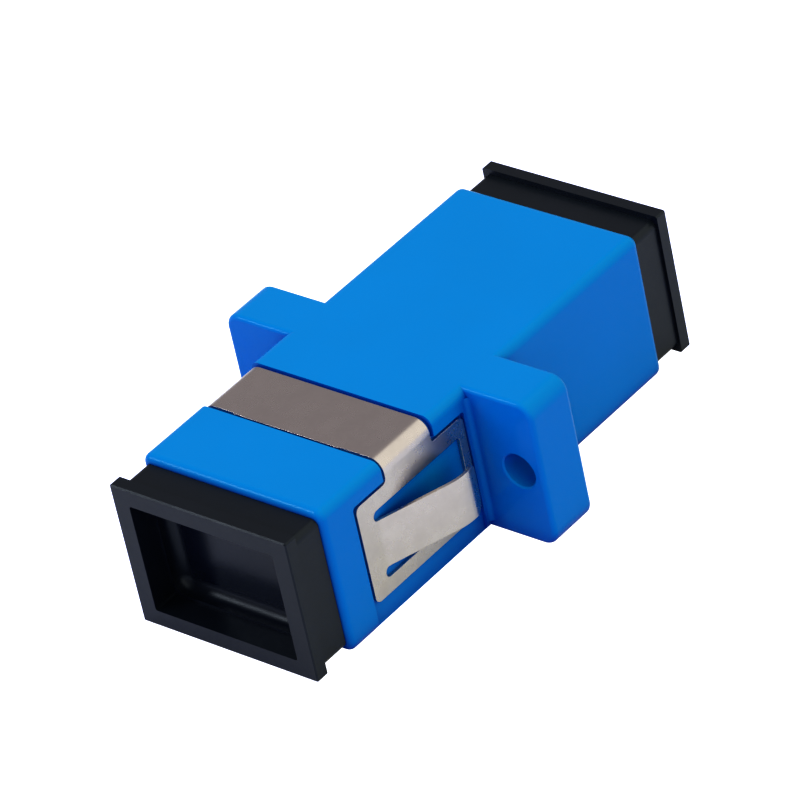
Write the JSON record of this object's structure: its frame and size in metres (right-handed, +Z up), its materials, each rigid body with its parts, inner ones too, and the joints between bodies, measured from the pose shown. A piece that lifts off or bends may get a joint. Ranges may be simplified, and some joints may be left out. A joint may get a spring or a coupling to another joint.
{
  "type": "sc fibre adapter",
  "caption": "Flanged simplex fibre adapter: rectangular blue body with a socket at each end, ears with through holes, a folded steel panel clip with sprung tongues and black dust caps.",
  "frame": {"origin": "on the optical axis, in the middle plane of the flange", "axes": "+Y along the optical axis towards the rear port, +X across the flange ears, +Z up out of the side that the clip's bridge crosses"},
  "size_m": [0.0226, 0.0348, 0.0098],
  "materials": {
    "blue_moulding": "satin",
    "clip_steel": "satin",
    "black_moulding": "matte",
    "holder_moulding": "satin",
    "zirconia": "polished"
  },
  "bodies": {
    "adapter": {"housing": "blue_moulding", "panel_clip": "clip_steel", "latch_holder_front": "holder_moulding", "latch_holder_rear": "holder_moulding", "alignment_sleeve": "zirconia"},
    "front_cap": {"dust_cap_front": "black_moulding"},
    "rear_cap": {"dust_cap_rear": "black_moulding"}
  },
  "joints": [
    {"name": "front_cap_pull", "type": "slide", "parent": "adapter", "child": "front_cap", "axis": [0, -1, 0], "range_m": [0, 0.012]},
    {"name": "rear_cap_pull", "type": "slide", "parent": "adapter", "child": "rear_cap", "axis": [0, 1, 0], "range_m": [0, 0.012]}
  ]
}
